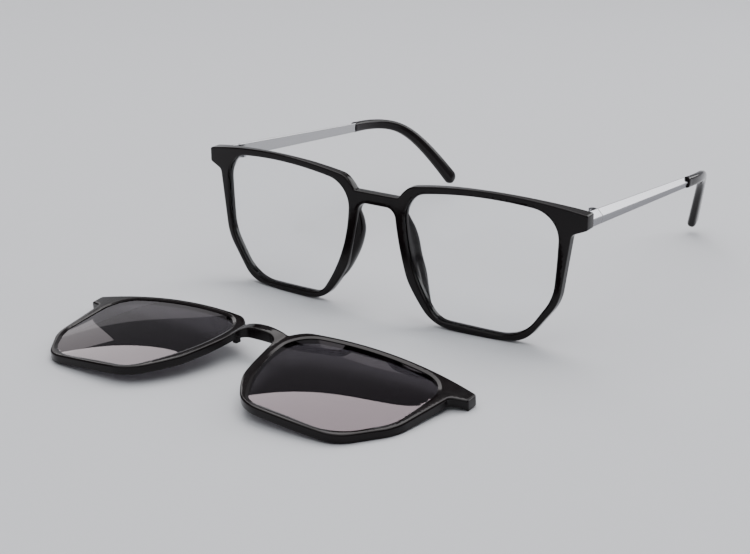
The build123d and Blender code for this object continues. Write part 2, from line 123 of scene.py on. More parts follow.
BRIDGE_BLEND = 0.0066, 0.0094  # across, from the clip's bridge to its rims
LEVEL_BLEND = 0.0012  # half the height in which the front's rear face changes
PAD_STEP, PAD_PLAY = 0.0004, 0.00001  # slope at the edges of the clip's pads, gap to the end piece

MERGE = 2e-7  # points nearer than this are one
SHARP = math.radians(42)  # edges that turn further than this stay sharp

# Stage: the table's half width, and its sweep up behind the object with the step to its edge
TABLE_HALF, SWEEP_BACK, SWEEP_RADIUS, SWEEP_TURN = 4, 1.1, 0.5, math.radians(78)
SWEEP_EDGE = 0.05, 0.24
# Lamps: a corner, the two edges that leave it, radiance and tone
CREAM, COLD = (1.0, 0.975, 0.98), (0.97, 0.985, 1.0)
LAMPS = {
    "softbox_back": ((0.5, 0.9, 0.935), (-1.45, 0, 0), (0, -0.7, 0.6), 3.8, CREAM),
    "softbox_left": ((-0.92, 0.9, 0.815), (-0.58, 0, -0.276), (-0.22, 0, 0.462), 3.0, CREAM),
    "panel_back": ((0.25, 1.0, 0.477), (-1.6, 0, -0.72), (-0.25, 0, 0.5555), 0.3, (0.98, 0.98, 1.0)),
    "softbox_far": ((-1.25, 0.9, 0.28), (-0.3, 0, 0), (0.04, 0, 0.34), 0.8, CREAM),
    "softbox_right": ((0.95, 0.9, 0.12), (-0.82, 0, 0), (0, -0.05, 0.6), 4.5, (0.985, 0.99, 1.0)),
    "softbox_top": ((1.5, 0.5, 1.7), (-3.0, 0, 0), (0, -1.8, 0), 1.67, COLD),
    "softbox_front": ((-0.9, -1.7, 0.9), (1.8, 0, 0), (0, 0.3, 0.8), 1.1, COLD),
}
# Camera solved from the photo: its place, its turns round the object, above it and about its
# own axis in degrees, the focal length and the photo's width in pixels, the sensor in mm
CAMERA_PLACE, CAMERA_TURNS = (0.2745, -0.4148, 0.1539), (33.53, 19.9, -0.22)
FOCAL_LENGTH, PHOTO_WIDTH, SENSOR = 1627, 750, 36.0


def length(name, description, default):
    """A length in metres that the panel can show."""
    return FloatProperty(name=name, description=description, default=default, unit="LENGTH", precision=5)


def colour(name, description, default):
    """A colour that the panel can show."""
    return FloatVectorProperty(name=name, description=description, default=default, subtype="COLOR",
                               size=3, min=0, max=1)


class FrontSizes(PropertyGroup):
    """Sizes of the moulded front, which the clip shares."""
    half_width: length("Half width", "Middle to the end piece's end", HALF_WIDTH)
    bend_radius: length("Bend radius", "Bend of each rim, seen from above", 0.355)
    thickness: length("Thickness", "Rim, front to back", 0.003)
    eye_inner: length("Opening's nasal edge", "Middle to the opening", 0.0108)
    eye_width: length("Opening width", "Opening, across", 0.053)
    eye_height: length("Opening height", "Opening, up and down", 0.044)
    rim_top: length("Rim top", "Upper rim bar in front view", 0.0022)
    rim_bottom: length("Rim bottom", "Lower rim bar in front view", 0.0019)
    rim_nasal: length("Rim nasal", "Nasal rim bar in front view", 0.0035)
    rim_side: length("Rim side", "Side rim bar in front view", 0.0029)
    half_bridge: length("Half bridge", "Middle to the rim", 0.0084)
    bridge_height: length("Bridge height", "Middle of the bridge above the table", 0.0392)
    bridge_depth: length("Bridge depth", "Bridge, up and down", 0.0039)
    bridge_neck: length("Bridge neck", "Each side of the gap below the bridge is nearer by this", 0.0015)
    bridge_round: length("Bridge round", "Round below the bridge", 0.0035)
    crown_bow: length("Crown bow", "Bow of the side from the bridge up to the crown", 0.00035)
    end_height: length("End height", "End piece, up and down", 0.0048)
    end_drop: length("End drop", "End piece below the top of the rims", 0.0034)
    end_round: length("End round", "Corners of the end piece", 0.0008)
    end_back: length("End back", "Rear corner of the end piece behind the bridge", 0.01025)
    slope_length: length("Slope length", "Rear slope of the end piece, across", 0.0075)
    slope_drop: length("Slope drop", "The slope runs forward by this", 0.00225)
    notch_drop: length("Notch drop", "Slope of the end piece's underside", 0.002)
    notch_out: length("Notch out", "Rim's side to the notch", 0.0004)
    notch_round: length("Notch round", "Round between end piece and rim", 0.002)
    rear_nasal: length("Rear bend", "The rear follows the bend this far out", 0.014)
    rear_flat: length("Rear flat", "The rear is flat to here", 0.028)
    front_round: length("Front edge", "Round of the front edges", 0.00045)
    rear_round: length("Rear edge", "Round of the rear edges", 0.0003)
    groove_inset: length("Groove inset", "Front face to lens groove", 0.0005)
    groove_depth: length("Groove depth", "Lens groove in the opening's wall", 0.0006)
    wing_reach: length("Wing reach", "Nose wing behind the bridge face", 0.0092)
    wing_bulge: length("Wing bulge", "Nose wing towards the nose", 0.0015)
    wing_width: length("Wing width", "Nose wing, across a section", 0.003)


class LensSizes(PropertyGroup):
    """Sizes of the lenses."""
    demo_thickness: length("Clear lens", "Thickness of the clear lenses", 0.0011)
    sun_thickness: length("Sun lens", "Thickness of the clip's lenses", 0.0009)
    play: length("Play", "Lens to the groove's floor", 0.00002)
    crown: length("Crown", "Middle of a lens ahead of its edge", 0.0007)


class TempleSizes(PropertyGroup):
    """Sizes of the hinge and the temple."""
    outer: length("Outer face", "Middle to the bar's outer face at the front", 0.0716)
    thickness: length("Thickness", "Bar at the front, across", 0.0024)
    height: length("Height", "Bar at the front, up and down", 0.0048)
    start_height: length("Start height", "Middle of the bar above the table", 0.0419)
    seam_back: length("Seam", "Joint of block and bar behind the bridge", 0.018)
    seam_gap: length("Seam gap", "Gap at the joint", 0.0001)
    sleeve_start: length("Sleeve start", "Start of the tip behind the bridge", 0.0885)
    end_outer: length("End outer face", "Middle to the bar's outer face at the tip", 0.0696)
    end_thickness: length("End thickness", "Bar at the tip, across", 0.0019)
    end_height: length("End height", "Bar at the tip, up and down", 0.0034)
    end_middle: length("End middle", "Middle of the bar at the tip above the table", 0.034)
    seam_bevel: length("Seam bevel", "Bright bevel at the joint", 0.00028)
    knuckle_radius: length("Knuckle radius", "Knuckles of the hinge", 0.0013)
    knuckle_height: length("Knuckle height", "One knuckle, up and down", 0.00135)
    knuckle_gap: length("Knuckle gap", "Gap between knuckles", 0.00005)
    side_gap: length("Side gap", "Knuckle to the bar's inner face", 0.0002)
    web: length("Web", "Web that ties a knuckle to its bar", 0.0026)
    leaf_length: length("Leaf length", "Leaf let into the end piece", 0.0063)
    leaf_height: length("Leaf height", "Leaf, up and down", 0.0034)
    leaf_thickness: length("Leaf thickness", "Leaf, front to back", 0.0008)
    tip_round: length("Tip round", "Rounded end of the tip", 0.0029)
    collar_length: length("Collar length", "Collar at the tip's start", 0.0016)


class ClipSizes(PropertyGroup):
    """Sizes of the sun clip and the place where it lies."""
    thickness: length("Thickness", "Rim of the clip", 0.0027)
    stand_off: length("Stand-off", "Rim to rim when worn", 0.0007)
    pad_length: length("Pad length", "Pad behind each end piece", 0.0066)
    arch: length("Arch", "Crown of the clip's bridge in front of the frame's", 0.0051)
    foot_set_back: length("Foot set-back", "Foot of the arch behind the clip's face", 0.0008)
    foot_length: length("Foot length", "The arch reaches this far into the rims", 0.0018)
    bridge_gap: length("Bridge gap", "Clip's bridge to the frame's at the middle", 0.0014)
    foot_gap: length("Foot gap", "The same at the feet", 0.0009)
    groove_inset: length("Groove inset", "Face to lens groove", 0.0005)
    out: length("Place across", "Middle of the clip from the mirror plane", -0.0081)
    ahead: length("Place ahead", "Middle of the clip in front of the bridge", 0.0655)
    rise: length("Place up", "Face of the clip at its mid height", -0.0314743)
    yaw: FloatProperty(name="Yaw", description="Turn on the table", subtype="ANGLE",
                       default=math.radians(-0.5))
    pitch: FloatProperty(name="Pitch", description="Tilt, top edge up", subtype="ANGLE",
                         default=math.radians(4.9))


class Finishes(PropertyGroup):
    """Colours of the finishes."""
    black: colour("Black moulding", "Polished black plastic", (0.0045, 0.0036, 0.0040))
    metal: colour("Bar metal", "Brushed metal of block and bar", (0.42, 0.42, 0.43))
    screw: colour("Screw metal", "Turned screws", (0.62, 0.62, 0.60))
    nickel: colour("Nickel", "Plating of the magnets", (0.66, 0.65, 0.62))
    clear: colour("Clear lens", "Clear demonstration lens", (0.985, 0.988, 0.99))
    sun: colour("Sun lens", "Dark sun lens", (0.055, 0.05, 0.057))
    table: colour("Table", "Pale seamless table", (0.615, 0.622, 0.645))


def sizes(name):
    """The scene's group of sizes with that name."""
    return getattr(bpy.context.scene, "spectacle_" + name)


# Shapes in front view

def outline(rows, corner_steps=12, side_steps=56):
    """Closed clockwise ring through rows of (x, z, radius, bow). A side is the chord plus
    4 t (1 - t) times its bow. A corner is a cubic that starts radius x tan(turn / 2) before it
    and ends as far after it, with handles of radius x 4/3 tan(turn / 4)."""
    rows = np.asarray(rows, float)
    corner, radius, bow = rows[:, :2], rows[:, 2], rows[:, 3, None]
    chord = np.roll(corner, -1, axis=0) - corner
    span = np.hypot(*chord.T)
    out = np.stack([-chord[:, 1], chord[:, 0]], 1) / span[:, None]

    def heading(t):
        run = chord + out * bow * (4 - 8 * t)
        return run / np.hypot(*run.T)[:, None]

    def place(t):
        t = t[..., None]
        return corner[:, None] + chord[:, None] * t + out[:, None] * (bow[:, None] * 4 * t * (1 - t))

    leave, arrive = heading(0), np.roll(heading(1), 1, axis=0)
    turn = np.arccos(np.clip((leave * arrive).sum(1), -1, 1))
    trim = radius * np.tan(turn / 2)
    start, end = trim / span, 1 - np.roll(trim, -1) / span
    first = heading(start[:, None])
    last = np.roll(heading(end[:, None]), 1, axis=0)
    a, d = np.roll(place(end[:, None])[:, 0], 1, axis=0), place(start[:, None])[:, 0]
    handle = (radius * 4 / 3 * np.tan(turn / 4))[:, None]
    t = np.linspace(0, 1, corner_steps, endpoint=False)[None, :, None]
    weights = ((1 - t) ** 3, 3 * t * (1 - t) ** 2, 3 * t * t * (1 - t), t ** 3)
    points = a, a + last * handle, d - first * handle, d
    corners = sum(w * p[:, None] for w, p in zip(weights, points))
    t = start[:, None] + (end - start)[:, None] * np.linspace(0, 1, side_steps, endpoint=False)
    return np.concatenate([corners, place(t)], axis=1).reshape(-1, 2)


def outward(ring):
    """Unit normals of a clockwise ring, pointing out of it: the turned central difference."""
    run = np.roll(ring, -1, axis=0) - np.roll(ring, 1, axis=0)
    return np.stack([-run[:, 1], run[:, 0]], 1) / np.hypot(*run.T)[:, None]


def mirrored_ring(ring):
    """The ring's mirror image, clockwise again."""
    return ring[::-1] * (-1, 1)


def opening_ring(s, grow=0.0):
    """Outline of the left opening, grown all round."""
    rows = np.array(OPENING)
    rows[:, 0] = s.eye_inner + rows[:, 0] * s.eye_width
    rows[:, 1] = s.rim_bottom - s.bridge_height + rows[:, 1] * s.eye_height
    rows[:, 2:] *= s.eye_width
    ring = outline(rows)
    return ring + outward(ring) * grow


def rim_box(s):
    """Nasal edge, span and height of the left rim."""
    inner = s.eye_inner - s.rim_nasal
    return inner, s.eye_width + s.rim_nasal + s.rim_side, s.rim_bottom + s.eye_height + s.rim_top


def front_ring(s):
    """Outline of the whole front with both halves."""
    inner, span, height = rim_box(s)

    def rim_corner(across, rise, radius, bow):
        place = inner + across * span, rise * height - s.bridge_height
        return *place, radius * s.eye_width, bow * s.eye_width

    top = height - s.end_drop - s.bridge_height
    under = top - s.end_height
    rows = [
        (s.half_bridge, s.bridge_depth / 2, s.end_round, s.crown_bow), rim_corner(*CROWN),
        (s.half_width, top, s.end_round, 0), (s.half_width, under, s.end_round, 0),
        (inner + span + s.notch_out, under - s.notch_drop, s.notch_round, 0),
        *[rim_corner(*row) for row in LOWER_RIM],
        (s.half_bridge - s.bridge_neck, -s.bridge_depth / 2, s.bridge_round, 0),
    ]
    other = [(-x, z, radius, row[3])
             for (x, z, radius, bow), row in zip(rows[::-1], rows[-2::-1] + rows[-1:])]
    return outline(rows + other)


# Surfaces over the front view

def smoothstep(low, high, value):
    """0 below low, 1 above high, and 3 t^2 - 2 t^3 between."""
    t = np.clip((value - low) / (high - low), 0, 1)
    return t * t * (3 - 2 * t)


def bend(s, x, ahead=0.0):
    """Depth of a surface that runs ahead of the front's face: flat at the bridge, then a circle."""
    run = np.maximum(np.abs(x) - s.half_bridge, 0)
    return s.bend_radius - np.sqrt((s.bend_radius + ahead) ** 2 - run ** 2)


def front_rear(s):
    """Rear surface of the front. Low down it is the bend moved back by the thickness. Higher up
    it follows the bend, runs flat, and swings on a circle into the end piece's straight slope."""
    slope = s.slope_drop / s.slope_length
    heel = np.array([s.half_width - s.slope_length, s.end_back - s.slope_drop])
    flat = np.array([s.rear_flat, bend(s, s.rear_nasal, -s.thickness)])
    normal = np.array([-slope, 1]) / math.hypot(slope, 1)
    step = flat - heel
    radius = step @ step / (2 * step @ normal)
    centre = heel + normal * radius
    level = rim_box(s)[2] - s.end_drop - s.end_height - s.notch_drop / 2 - s.bridge_height

    def surface(x, z):
        x = np.abs(x)
        low = bend(s, x, -s.thickness)
        swing = centre[1] - np.sqrt(np.maximum(radius ** 2 - (x - centre[0]) ** 2, 0))
        high = np.where(x < s.rear_nasal, low, flat[1])
        high = np.where(x > flat[0], swing, high)
        high = np.where(x > heel[0], heel[1] + (x - heel[0]) * slope, high)
        share = smoothstep(level - LEVEL_BLEND, level + LEVEL_BLEND, z)
        return low + (high - low) * share

    return surface


def arch(half_span, foot, crown, x):
    """Depth of an arch seen from above: a parabola from its feet to its crown."""
    return crown + (foot - crown) * np.minimum(np.abs(x) / half_span, 1) ** 2


def clip_face(s, c):
    """Face of the clip as worn: the bend moved ahead, and the arch of its bridge."""
    front = c.stand_off + c.thickness
    half_span = s.half_bridge + c.foot_length

    def surface(x, z):
        bridge = arch(half_span, -(front - c.foot_set_back), -c.arch, x)
        return bridge + (bend(s, x, front) - bridge) * smoothstep(*BRIDGE_BLEND, np.abs(x))

    return surface


def clip_rear(s, c):
    """Rear of the clip as worn: the stand-off, pads at the end pieces, and the arch's rear."""
    half_span = s.half_bridge + c.foot_length
    under = rim_box(s)[2] - s.end_drop - s.end_height - s.bridge_height

    def surface(x, z):
        bridge = arch(half_span, -c.foot_gap, -c.bridge_gap, x)
        rim = bend(s, x, c.stand_off)
        edge = s.half_width - c.pad_length
        pad = (smoothstep(edge, edge + PAD_STEP, np.abs(x))
               * smoothstep(under - PAD_STEP / 2, under + PAD_STEP / 2, z))
        rim = rim + (bend(s, x) + PAD_PLAY - rim) * pad
        return bridge + (rim - bridge) * smoothstep(*BRIDGE_BLEND, np.abs(x))

    return surface


# Meshes

def grid_faces(rows, columns, first=0, close_rows=True, close_columns=False):
    """Quads of a grid of points numbered row by row, closed along either way."""
    number = np.arange(rows * columns).reshape(rows, columns) + first
    if close_rows:
        number = np.concatenate([number, number[:1]])
    if close_columns:
        number = np.concatenate([number, number[:, :1]], axis=1)
    quads = number[:-1, :-1], number[1:, :-1], number[1:, 1:], number[:-1, 1:]
    return np.stack(quads, -1).reshape(-1, 4).tolist()


def inside(points, rings):
    """True for each point that an odd number of the rings' sides stands to the right of."""
    a = np.concatenate(rings)
    b = np.concatenate([np.roll(ring, -1, axis=0) for ring in rings])
    x, z = points[:, :1], points[:, 1:]
    spans = (a[:, 1] > z) != (b[:, 1] > z)
    rise = np.where(a[:, 1] == b[:, 1], 1, b[:, 1] - a[:, 1])
    cross = a[:, 0] + (z - a[:, 1]) / rise * (b[:, 0] - a[:, 0])
    return ((spans & (x < cross)).sum(1) % 2).astype(bool)


def fill(rings, spacing):
    """Points and triangles that fill the space between rings: a lattice of equal triangles where
    it is clear of the rings, joined to them by Delaunay's rule."""
    edge = np.concatenate(rings)
    low, high = edge.min(0), edge.max(0)
    xs, zs = np.arange(low[0], high[0], spacing), np.arange(low[1], high[1], spacing * 0.866)
    grid = np.stack(np.meshgrid(xs, zs), -1)
    grid[1::2, :, 0] += spacing / 2
    lattice = grid.reshape(-1, 2)
    lattice = lattice[inside(lattice, rings)]
    gap = np.min([np.hypot(*(lattice[:, None] - ring).T).min(0) for ring in rings], axis=0)
    lattice = lattice[gap > spacing * 0.5]
    points = np.concatenate([edge, lattice]) * 1000
    sides, first = [], 0
    for ring in rings:
        number = np.arange(len(ring)) + first
        sides += np.stack([number, np.roll(number, -1)], 1).tolist()
        first += len(ring)
    made = delaunay_2d_cdt([Vector(p) for p in points.tolist()], sides, [], 0, 1e-7)
    flat = np.array([v[:] for v in made[0]]) / 1000
    faces = np.array(made[2])
    faces = faces[inside(flat[faces].mean(1), rings)]
    return flat, faces.tolist()


def edge_profile(front_round, rear_round, groove=(), steps=5, bevel=()):
    """Rows of (into the material, 0 front or 1 rear, depth from it) down a wall: a quarter round
    or a softened bevel, the groove's corners and a quarter round."""
    turn = np.linspace(0, np.pi / 2, steps)
    front = np.stack([1 - np.sin(turn), 0 * turn, 1 - np.cos(turn)], 1) * (front_round, 1, front_round)
    if bevel:
        across, deep = bevel
        front = np.array([(1, 0, 0), (0.93, 0, 0.03), (0.82, 0, 0.15), (0.06, 0, 0.91), (0.01, 0, 1),
                          (0, 0, 1.12)]) * (across, 1, deep)
    rear = np.stack([1 - np.sin(turn), 0 * turn + 1, np.cos(turn) - 1], 1) * (rear_round, 1, rear_round)
    return np.concatenate([front, *groove, rear[::-1]])


def plate(loops, front, rear, spacing):
    """Closed shell between two surfaces. Each loop is (ring, 1 outline or -1 opening, profile):
    its wall is the profile carried along the ring, and fills join the walls' ends."""
    points, faces, first = [], [], 0
    front_rings, rear_rings = [], []
    for ring, side, profile in loops:
        into, share, depth = profile.T
        flat = ring[:, None] - (outward(ring) * side)[:, None] * into[:, None]
        x, z = flat[..., 0], flat[..., 1]
        y = front(x, z) * (1 - share) + rear(x, z) * share + depth
        points.append(np.stack([x, y, z], -1).reshape(-1, 3))
        faces += grid_faces(len(ring), len(profile), first)
        first += points[-1].shape[0]
        front_rings.append(flat[:, 0])
        rear_rings.append(flat[:, -1])
    for rings, surface in ((front_rings, front), (rear_rings, rear)):
        flat, triangles = fill(rings, spacing)
        points.append(np.stack([flat[:, 0], surface(*flat.T), flat[:, 1]], -1))
        faces += (np.array(triangles) + first).tolist()
        first += len(flat)
    return np.concatenate(points), faces


def smooth_rows(rows, steps, closed):
    """Points on a Catmull-Rom curve through rows: each coordinate is a cubic between two rows
    with slopes of half the difference of their neighbours."""
    rows = np.asarray(rows, float)
    if closed:
        before, here, after, beyond = (np.roll(rows, k, axis=0) for k in (1, 0, -1, -2))
    else:
        longer = np.concatenate([2 * rows[:1] - rows[1:2], rows, 2 * rows[-1:] - rows[-2:-1]])
        before, here, after, beyond = (longer[k:len(rows) - 1 + k] for k in range(4))
    t = np.linspace(0, 1, steps, endpoint=False)[:, None]
    parts = (2 * t ** 3 - 3 * t ** 2 + 1, t ** 3 - 2 * t ** 2 + t, 3 * t ** 2 - 2 * t ** 3,
             t ** 3 - t ** 2)
    ends = here, (after - before) / 2, after, (beyond - here) / 2
    curve = sum(w * e[:, None] for w, e in zip(parts, ends)).reshape(-1, rows.shape[1])
    return curve if closed else np.concatenate([curve, rows[-1:]])


def loft(sections):
    """Closed shell over rings of equal count, with a fan from the middle of each end ring."""
    rows, columns = sections.shape[:2]
    middles = sections[0].mean(0)[None], sections[-1].mean(0)[None]
    points = np.concatenate([sections.reshape(-1, 3), *middles])
    faces = grid_faces(rows, columns, close_rows=False, close_columns=True)
    ring = np.arange(columns)
    after = np.roll(ring, -1)
    far = (rows - 1) * columns
    fans = [np.stack([after, ring, ring * 0 + rows * columns], 1),
            np.stack([ring + far, after + far, ring * 0 + rows * columns + 1], 1)]
    return points, faces + np.concatenate(fans).tolist()


def turned(profile, centre, steps=40):
    """Shell turned about a vertical axis: rows of (radius, height) carried round a circle."""
    turn = np.linspace(0, 2 * np.pi, steps, endpoint=False)
    circle = np.stack([np.cos(turn), np.sin(turn), 0 * turn], 1)
    radius, height = np.asarray(profile, float).T
    sections = circle * radius[:, None, None] + np.array([0, 0, 1]) * height[:, None, None]
    return loft(sections + np.asarray(centre))


def joined(*shells):
    """Several (points, faces) shells as one."""
    firsts = np.cumsum([0] + [len(points) for points, faces in shells])
    moved = [[index + first for index in face] for (points, faces), first in zip(shells, firsts)
             for face in faces]
    return np.concatenate([points for points, faces in shells]), moved


def mirrored(shell):
    """A shell's mirror image. Its faces are turned outwards when it is made a mesh."""
    points, faces = shell
    return points * (-1, 1, 1), faces


def spin(turn):
    """Matrix that turns by an angle about +Z."""
    return np.array([[math.cos(turn), -math.sin(turn), 0], [math.sin(turn), math.cos(turn), 0],
                     [0, 0, 1]])


def laid(shell, s, c):
    """A worn clip shell laid face up on the table: moved to its face, tipped and turned."""
    points, faces = shell
    lift = (0, c.stand_off + c.thickness, s.bridge_height - rim_box(s)[2] / 2)
    tip = c.pitch - math.pi / 2
    tipped = np.array([[1, 0, 0], [0, math.cos(tip), -math.sin(tip)],
                       [0, math.sin(tip), math.cos(tip)]])
    return (points + lift) @ (spin(c.yaw) @ tipped).T + (c.out, -c.ahead, c.rise), faces


def placed(name, data):
    """A new object of a mesh, lamp or camera, in the scene."""
    made = bpy.data.objects.new(name, data)
    bpy.context.scene.collection.objects.link(made)
    return made


def piece(name, shell, finish_name, body, nodes, even=True):
    """Make a shell an object: doubles merged, faces turned outwards, shaded smooth. It rides on
    a body and replaces CAD nodes. Even shading keeps facets flat between rounded edges."""
    points, faces = shell
    mesh = bpy.data.meshes.new(name)
    mesh.from_pydata(points.tolist(), [], faces)
    work = bmesh.new()
    work.from_mesh(mesh)
    bmesh.ops.remove_doubles(work, verts=work.verts, dist=MERGE)
    bmesh.ops.recalc_face_normals(work, faces=work.faces)
    work.to_mesh(mesh)
    work.free()
    mesh.shade_smooth()
    mesh.set_sharp_from_angle(angle=SHARP)
    mesh.materials.append(material(finish_name))
    made = placed(name, mesh)
    if even:
        made.modifiers.new("Even shading", "WEIGHTED_NORMAL").keep_sharp = True
    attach(made, body)
    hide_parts(*nodes)


# Finishes

def noise(tree, scale, detail, stretch=(1, 1, 1)):
    """Noise on object coordinates, stretched along an axis where its number is small."""
    where = tree.nodes.new("ShaderNodeTexCoord")
    place = tree.nodes.new("ShaderNodeMapping")
    place.inputs["Scale"].default_value = stretch
    grain = tree.nodes.new("ShaderNodeTexNoise")
    grain.inputs["Scale"].default_value = scale
    grain.inputs["Detail"].default_value = detail
    tree.links.new(where.outputs["Object"], place.inputs["Vector"])
    tree.links.new(place.outputs["Vector"], grain.inputs["Vector"])
    return grain.outputs["Fac"]


def roughened(tree, shader, value, low, high):
    """Roughness in a range, by noise that lies almost wholly from 0.3 to 0.7."""
    node = tree.nodes.new("ShaderNodeMapRange")
    node.inputs["From Min"].default_value = 0.3
    node.inputs["From Max"].default_value = 0.7
    node.inputs["To Min"].default_value = low
    node.inputs["To Max"].default_value = high
    tree.links.new(value, node.inputs["Value"])
    tree.links.new(node.outputs["Result"], shader.inputs["Roughness"])


def coloured(tree, shader, value, colour_value, first=1.0, second=1.0):
    """Base colour by a value, between the colour times two factors."""
    node = tree.nodes.new("ShaderNodeMix")
    node.data_type = "RGBA"
    node.inputs["A"].default_value = (*np.multiply(colour_value, first), 1)
    node.inputs["B"].default_value = (*np.multiply(colour_value, second), 1)
    tree.links.new(value, node.inputs["Factor"])
    tree.links.new(node.outputs["Result"], shader.inputs["Base Color"])


def bumped(tree, shader, value, distance, strength=1.0):
    """Tilt the shader's normal as a height from a value would."""
    node = tree.nodes.new("ShaderNodeBump")
    node.inputs["Distance"].default_value = distance
    node.inputs["Strength"].default_value = strength
    tree.links.new(value, node.inputs["Height"])
    tree.links.new(node.outputs["Normal"], shader.inputs["Normal"])


def let_through(tree, shader, colour_value, share, order):
    """Mix a shader, by a share, with a transparent one that tints what goes straight through it.
    The order tells the mix's inputs: the first shows where the share is 0, the second at 1."""
    passing = tree.nodes.new("ShaderNodeBsdfTransparent")
    passing.inputs["Color"].default_value = (*colour_value, 1)
    mix = tree.nodes.new("ShaderNodeMixShader")
    tree.links.new(share, mix.inputs["Fac"])
    for node, place in zip((shader, passing), order):
        tree.links.new(node.outputs["BSDF"], mix.inputs[place])
    tree.links.new(mix.outputs["Shader"], tree.nodes["Material Output"].inputs["Surface"])


def polished_black(tree, shader, colour_value, low, high):
    """Polished black plastic: a faint brown drift, cloudy polish and a shallow orange peel."""
    coloured(tree, shader, noise(tree, 90, 3), colour_value, second=(1.7, 1.35, 1.3))
    roughened(tree, shader, noise(tree, 260, 5), low, high)
    shader.inputs["IOR"].default_value = 1.5
    shader.inputs["Specular IOR Level"].default_value = 0.2
    bumped(tree, shader, noise(tree, 900, 2), 0.000004)


def brushed_metal(tree, shader, colour_value):
    """Metal brushed along its length: noise drawn out along Y drives tone, roughness and bump."""
    grain = noise(tree, 1.0, 6, stretch=(9000, 160, 9000))
    coloured(tree, shader, grain, colour_value, 0.93)
    roughened(tree, shader, grain, 0.12, 0.20)
    shader.inputs["Metallic"].default_value = 1
    shader.inputs["Specular Tint"].default_value = (0.5, 0.5, 0.52, 1)
    bumped(tree, shader, grain, 0.0000007)


def turned_metal(tree, shader, colour_value, low, high):
    """Small turned or plated metal: fine cloudy roughness."""
    cloud = noise(tree, 1500, 4)
    coloured(tree, shader, cloud, colour_value, 0.9)
    roughened(tree, shader, cloud, low, high)
    shader.inputs["Metallic"].default_value = 1


def coated_lens(tree, shader, colour_value, ior):
    """Clear coated lens: lets light straight through, with a weak mirror by Fresnel's law whose
    polish carries wipe marks."""
    shader.inputs["Base Color"].default_value = (0.9, 0.93, 0.96, 1)
    shader.inputs["Metallic"].default_value = 1
    roughened(tree, shader, noise(tree, 40, 5, stretch=(1, 1, 3)), 0.01, 0.05)
    facing = tree.nodes.new("ShaderNodeFresnel")
    facing.inputs["IOR"].default_value = ior
    let_through(tree, shader, colour_value, facing.outputs["Fac"], (2, 1))


def tinted_lens(tree, shader, colour_value, ior):
    """Dark lens: glass tinted in the mass, with wipe marks in its polish. Rays to a lamp go
    through it as tinted light, so that its shadow isn't solid."""
    shader.inputs["Base Color"].default_value = (*colour_value, 1)
    shader.inputs["Transmission Weight"].default_value = 1
    shader.inputs["IOR"].default_value = ior
    shader.inputs["Specular Tint"].default_value = (1.0, 0.78, 0.88, 1)
    roughened(tree, shader, noise(tree, 40, 5, stretch=(1, 1, 3)), 0.0, 0.012)
    rays = tree.nodes.new("ShaderNodeLightPath")
    let_through(tree, shader, colour_value, rays.outputs["Is Shadow Ray"], (1, 2))


def pale_card(tree, shader, colour_value):
    """Matt pale card: a faint drift of tone and a fine grain."""
    coloured(tree, shader, noise(tree, 3, 3), colour_value, 0.985)
    shader.inputs["Roughness"].default_value = 0.6
    bumped(tree, shader, noise(tree, 1800, 2), 0.00001, 0.4)


def material(name):
    """A finish, made when it is first asked for. The numbers are the lowest and the highest
    roughness, or a lens's index of refraction."""
    if name in bpy.data.materials:
        return bpy.data.materials[name]
    f = sizes("finishes")
    maker, *values = {
        "moulded_black": (polished_black, f.black, 0.06, 0.13),
        "tip_black": (polished_black, f.black, 0.10, 0.17),
        "brushed_bar": (brushed_metal, f.metal),
        "turned_screw": (turned_metal, f.screw, 0.18, 0.34),
        "plated_magnet": (turned_metal, f.nickel, 0.12, 0.26),
        "coated_lens": (coated_lens, f.clear, 1.22),
        "tinted_lens": (tinted_lens, f.sun, 1.66),
        "pale_table": (pale_card, f.table),
    }[name]
    made = bpy.data.materials.new(name)
    made.use_nodes = True
    maker(made.node_tree, made.node_tree.nodes["Principled BSDF"], *values)
    return made


# Pieces

def wing(s):
    """Nose wing: a closed section, carried up the nasal rim on a Catmull-Rom curve through the
    levels. Across and back are shares of its width and reach, less the bulge."""
    inner, span, height = rim_box(s)
    levels = smooth_rows(WING_LEVELS, 7, closed=False)
    section = smooth_rows(WING_SECTION, 6, closed=True)
    rise, edge, reach, bulge = levels[:, :, None].transpose(1, 0, 2)
    across, back, full = section.T
    x = inner + edge * span + across * s.wing_width - full * bulge * s.wing_bulge
    y = back * reach * s.wing_reach
    z = rise * height - s.bridge_height + 0 * across
    return loft(np.stack([x, y, z], -1))


def rim_plate(s, face, rear, rim, opening, inset, thick, spacing):
    """Plate between two surfaces with the front's outline and two grooved openings."""
    depth = s.groove_depth
    groove = [[(0, 0, inset), (depth, 0, inset), (depth, 0, inset + thick), (0, 0, inset + thick)]]
    bevel, rear_round = opening
    grooved = edge_profile(0, rear_round, groove, bevel=bevel)
    hole = opening_ring(s)
    loops = [(front_ring(s), 1, rim), (hole, -1, grooved), (mirrored_ring(hole), -1, grooved)]
    return plate(loops, face, rear, spacing)


def front_shell(s):
    """The front moulding: a plate with two grooved openings, and its nose wings."""
    rim = edge_profile(s.front_round, s.rear_round)
    rims = rim_plate(s, lambda x, z: bend(s, x), front_rear(s), rim, FRONT_OPENING, s.groove_inset,
                     sizes("lenses").demo_thickness, FRONT_MESH)
    return joined(rims, wing(s), mirrored(wing(s)))


